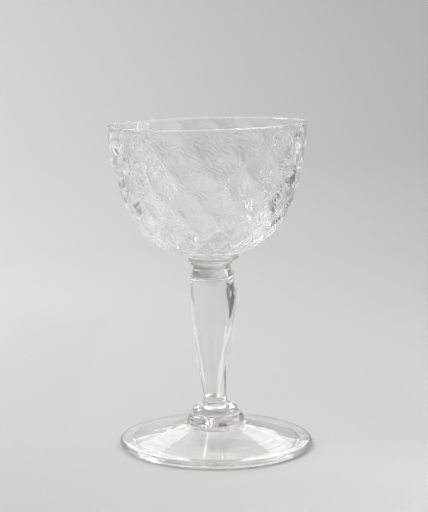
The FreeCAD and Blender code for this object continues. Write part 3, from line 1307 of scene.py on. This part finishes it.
@dataclass(frozen=True)
class Card:
    """A flat card beside the view, that the glass reflects and bends into its edges.

    It faces what it is aimed at. It is seen in the glass alone, so the paper keeps its even tone.
    """

    clear: ClassVar[float] = 0.3 * MM

    name: str
    place: tuple[float, float, float]
    size: tuple[float, float]
    glow: float
    aim: tuple[float, float, float] = (0.0, 0.0, 0.08)

    def stand(self) -> bpy.types.Object:
        """Stands the card in its place.

        Returns:
            The card.
        """
        wide, high = self.size[0] / 2, self.size[1] / 2
        mesh = bpy.data.meshes.new(self.name)
        mesh.from_pydata([(-wide, -high, 0), (wide, -high, 0), (wide, high, 0), (-wide, high, 0)], [],
                         [(0, 1, 2, 3)])
        toward = (Vector(self.aim) - Vector(self.place)).to_track_quat("Z", "Y").to_matrix()
        mesh.transform(Matrix.Translation(self.place) @ toward.to_4x4())
        mesh.materials.append(self.finish())
        card = put_in_scene(self.name, mesh)
        card.visible_camera = False
        card.visible_diffuse = False
        return card

    def finish(self) -> bpy.types.Material:
        """Makes the card's flat tone.

        Returns:
            The material.
        """
        material, _, _ = new_material(self.name, base_color=(0, 0, 0, 1), specular_ior_level=0.0,
                                      emission_color=(1, 1, 1, 1), emission_strength=self.glow)
        return material


def facing(name: str, bearing: float, rise: float, distance: float, size: tuple[float, float],
           glow: float) -> Card:
    """Makes a card that faces the middle of the glass.

    Args:
        name: its name.
        bearing: degrees clockwise from straight behind the glass, as seen from above.
        rise: degrees above the level of the middle of the glass.
        distance: how far it is from there.
        size: its width and height.
        glow: its brightness.

    Returns:
        The card.
    """
    turn, lift = math.radians(bearing), math.radians(rise)
    level = distance * math.cos(lift)
    middle = Card.aim
    place = (middle[0] + level * math.sin(turn), middle[1] + level * math.cos(turn),
             middle[2] + distance * math.sin(lift))
    return Card(name, place, size, glow)


def lying(name: str, near: tuple[float, float], far: tuple[float, float], glow: float) -> Card:
    """Makes a card that lies flat just over the paper.

    Args:
        name: its name.
        near: its corner of least X and Y.
        far: its corner of greatest X and Y.
        glow: its brightness.

    Returns:
        The card.
    """
    middle = ((near[0] + far[0]) / 2, (near[1] + far[1]) / 2)
    size = (far[0] - near[0], far[1] - near[1])
    return Card(name, (*middle, Card.clear), size, glow, (*middle, 1.0))


@dataclass
class Studio:
    """The seamless pale paper round the glass, the soft light over it, and the camera."""

    camera_at: tuple[float, float, float] = (-1.032 * MM, -685.77 * MM, 193.615 * MM)
    camera_down: float = math.radians(8.703)
    focal_px: float = 1502.88
    frame_height_px: float = 512.0
    sensor: float = 36.0
    floor_r: float = 1.5
    wall_r: float = 2.2
    bend_h: float = 0.5
    wall_h: float = 0.9
    paper_drop: float = 0.05 * MM
    paper_around: int = 128
    floor_steps: int = 12
    bend_steps: int = 24
    paper_roughness: float = 0.9
    # The paper's tone by distance back, with the painted fall of the light along it.
    paper_tones: tuple[tuple[float, float], ...] = (
        (-0.10, 0.672), (0.10, 0.682), (0.24, 0.688), (0.38, 0.68), (0.62, 0.646), (1.0, 0.636),
        (2.1, 0.642))
    paper_cast: tuple[float, float, float] = (1.0, 1.0, 0.99)
    # Painted light across the paper: how far out its slope reaches, its least reach, the offset of its
    # ramp, and how steep it is at each distance back.
    side_reach: tuple[float, float] = (0.105, 0.15)
    side_least: float = 0.09
    slope_zero: float = 0.5
    side_slopes: tuple[tuple[float, float], ...] = (
        (-0.10, 0.48), (0.05, -0.12), (0.38, -0.48), (1.0, -0.36), (2.1, -0.27))
    # The painted shadow of the foot's edge: its radius, which way it falls, how far round it spreads, and
    # the width and depth of its rings.
    shadow_r: float = 43.8 * MM
    shadow_way: tuple[float, float] = (0.5, 0.87)
    shadow_spread: float = 0.6
    shadow_rings: tuple[tuple[float, float], ...] = ((3.2 * MM, 0.6), (11 * MM, 0.05))
    grain_size: float = 2 * MM
    grain_detail: float = 2.0
    grain_depth: float = 0.01
    dome_light: float = 1.1
    low_light: float = 0.8
    dome_rise: float = math.radians(35)
    low_rise: float = math.radians(10)
    glass_bounces: int = 48
    paper_bounces: int = 8
    cards: tuple[Card, ...] = (
        facing("back_light_left", -15.5, 28, 1.4, (0.33, 0.4), 2.0),
        facing("back_light_middle", 0, 28, 1.41, (0.36, 0.42), 1.1),
        Card("rim_light", (0.0, 1.26, 0.395), (0.52, 0.05), 2.2),
        facing("back_light_right", 15.5, 28, 1.4, (0.33, 0.4), 2.0),
        facing("grey_above", 0, 48, 1.42, (2.4, 0.6), 0.5),
        facing("dark_front", 180, 16, 1.6, (2.0, 1.0), 0.0),
        facing("window_right", 106, 35, 1.5, (0.9, 0.6), 1.8),
        facing("window_back_right", 50, 27, 1.2, (0.5, 0.25), 1.6),
        facing("window_front_left", -140, 38, 1.4, (0.25, 0.25), 4.0),
        facing("lamp_left", -60, 38, 1.3, (0.34, 0.42), 14.0),
        facing("lamp_right", 90, 22, 1.3, (0.25, 0.25), 7.0),
        facing("dark_slat_right", 38, 13, 0.85, (0.36, 0.07), 0.3),
        facing("bright_slat_right", 45, 4, 0.8, (0.5, 0.07), 1.3),
        facing("dark_slat_left", -45, 9, 0.8, (0.2, 0.06), 0.3),
        facing("bright_slat_left", -40, 2, 0.75, (0.4, 0.06), 1.2),
        lying("table_right", (0.15, 0.1), (0.42, 0.46), 0.15),
        lying("table_left", (-0.42, 0.1), (-0.22, 0.5), 0.35),
        lying("strip_right", (0.072, 0.0), (0.105, 0.17), 0.85),
        lying("strip_left", (-0.13, 0.02), (-0.072, 0.3), 0.85),
    )

    def build(self) -> None:
        """Sets up everything round the glass."""
        self.aim_camera()
        self.hang_paper()
        for card in self.cards:
            card.stand()
        self.light_room()

    def aim_camera(self) -> None:
        """Puts the camera where the photograph was taken from."""
        data = bpy.data.cameras.new("camera")
        data.sensor_width = self.sensor
        data.lens = self.focal_px * self.sensor / self.frame_height_px
        camera = put_in_scene("camera", data)
        camera.location = self.camera_at
        camera.rotation_euler = (math.pi / 2 - self.camera_down, 0, 0)
        bpy.context.scene.camera = camera

    def hang_paper(self) -> None:
        """Lays the round sheet of pale paper, bent up into a low wall all round."""
        outline = Outline().line(0, -self.paper_drop)
        outline.line(self.floor_r, -self.paper_drop, steps=self.floor_steps)
        outline.rounded((self.wall_r, -self.paper_drop), (self.wall_r, self.bend_h),
                        steps=self.bend_steps)
        outline.line(self.wall_r, self.wall_h)
        mesh = outline.turned("paper", self.paper_around)
        mesh.materials.append(self.paper_finish())
        mesh.shade_smooth()
        paper = put_in_scene("paper", mesh)

    def paper_finish(self) -> bpy.types.Material:
        """Makes the pale matt paper, with painted light in its colour: even along its middle, and painted
        paler on one side than the other, as if lit from there.

        Near the glass its right side is painted a little paler, and from there back its left side is. Its
        tone along the distance back is painted light as well, and a painted shadow of the foot's edge lies
        in front of the foot.

        Returns:
            The material.
        """
        material, build, shader = new_material("pale_paper", roughness=self.paper_roughness,
                                               specular_ior_level=0.0)
        coordinates = build.add("ShaderNodeTexCoord").outputs["Object"]
        parts = build.add("ShaderNodeSeparateXYZ")
        build.join(coordinates, parts.inputs[0])
        across, deep, rise = parts.outputs
        back = build.sum("ADD", deep, rise)
        # Painted light: a slope across the paper paints one side paler than the other.
        slope = self.profile(build, back, self.side_slopes, self.slope_zero)
        slope = build.less(slope, self.slope_zero)
        near, widening = self.side_reach
        reach = build.sum("MAXIMUM", build.sum("MULTIPLY_ADD", back, widening, near), self.side_least)
        side = build.sum("MINIMUM", across, reach)
        side = build.sum("MAXIMUM", side, build.times(reach, -1.0))
        # The tone along the paper, with its painted light, plus the painted slope across it.
        tone = build.sum("MULTIPLY_ADD", slope, side, self.profile(build, back, self.paper_tones))
        # Painted shadow of the foot's edge, laid into the paper's tone.
        tone = build.times(tone, self.unshaded(build, across, deep))
        grain = build.noise(coordinates, self.grain_size, self.grain_detail).outputs["Fac"]
        tone = build.sum("MULTIPLY_ADD", build.less(grain, NOISE_MIDDLE), self.grain_depth, tone)
        colour = build.add("ShaderNodeCombineColor")
        for target, share in zip(colour.inputs, self.paper_cast):
            build.join(build.times(tone, share), target)
        build.join(colour.outputs[0], shader.inputs["Base Color"])
        return material

    def unshaded(self, build: Tree, across: bpy.types.NodeSocket,
                 deep: bpy.types.NodeSocket) -> bpy.types.NodeSocket:
        """Paints into the paper's tone the shadow that the edge of the foot would cast forwards, narrow and
        dark, and soft round it.

        Args:
            build: the tree that it goes into.
            across: where the place on the paper is along X.
            deep: where it is along Y.

        Returns:
            The share of the light that is left there.
        """
        out = build.outwards(across, deep)
        right, front = self.shadow_way
        toward = build.sum("MULTIPLY_ADD", across, right, build.times(deep, -front))
        cast = build.sum("MULTIPLY_ADD", build.over(toward, out), self.shadow_spread,
                         1 - self.shadow_spread, clamp=True)
        off = build.sum("ABSOLUTE", build.less(out, self.shadow_r))
        shade: object = 0.0
        for width, depth in self.shadow_rings:
            near = build.less(1.0, build.over(off, width), clamp=True)
            shade = build.sum("MULTIPLY_ADD", near, depth, shade)
        return build.less(1.0, build.times(shade, cast))

    @staticmethod
    def profile(build: Tree, along: bpy.types.NodeSocket, stops: tuple[tuple[float, float], ...],
                zero: float = 0.0) -> bpy.types.NodeSocket:
        """Adds a ramp of values over a distance.

        Args:
            build: the tree that it goes into.
            along: the distance.
            stops: distance and value of each of its points, in order.
            zero: what is added to the values, so that none is below 0.

        Returns:
            The value there.
        """
        start, end = stops[0][0], stops[-1][0]
        share = build.over(build.less(along, start), end - start, clamp=True)
        ramp = build.add("ShaderNodeValToRGB")
        marks = ramp.color_ramp.elements
        while len(marks) < len(stops):
            marks.new(1.0)
        for mark, (distance, value) in zip(marks, stops):
            mark.position = (distance - start) / (end - start)
            mark.color = (*[value + zero] * 3, 1)
        build.join(share, ramp.inputs[0])
        return ramp.outputs["Color"]

    def light_room(self) -> None:
        """Gives the room its even light, a dome that is dimmer low down, and lets it go on in the glass."""
        world = bpy.data.worlds.new("room")
        world.use_nodes = True
        build = Tree(world.node_tree)
        way = build.add("ShaderNodeSeparateXYZ")
        build.join(build.add("ShaderNodeTexCoord").outputs["Generated"], way.inputs[0])
        rise = build.add("ShaderNodeMapRange")
        build.join(way.outputs["Z"], rise.inputs["Value"])
        for name, value in (("From Min", math.sin(self.low_rise)), ("From Max", math.sin(self.dome_rise)),
                            ("To Min", self.low_light), ("To Max", self.dome_light)):
            rise.inputs[name].default_value = value
        sky = world.node_tree.nodes["Background"]
        build.join(rise.outputs[0], sky.inputs["Strength"])
        sky.inputs["Color"].default_value = (1, 1, 1, 1)
        scene = bpy.context.scene
        scene.world = world
        scene.view_settings.view_transform = "Standard"
        scene.cycles.max_bounces = self.glass_bounces
        scene.cycles.transmission_bounces = self.glass_bounces
        scene.cycles.glossy_bounces = self.glass_bounces
        scene.cycles.diffuse_bounces = self.paper_bounces
        scene.cycles.blur_glossy = 0.0


def main() -> None:
    """Builds the glass from the foot up, then the studio round it."""
    logging.basicConfig(level=logging.INFO, format="%(name)s: %(message)s")
    finishes, lean, levels = Finishes(), Lean(), Levels()
    for gather in (Foot, FootMerese, KnopCap, StemRing, HollowStem, NeckCollar, UpperMerese, Bowl):
        gather(finishes, lean).build(levels)
    Studio().build()


if __name__ == "__main__":
    main()
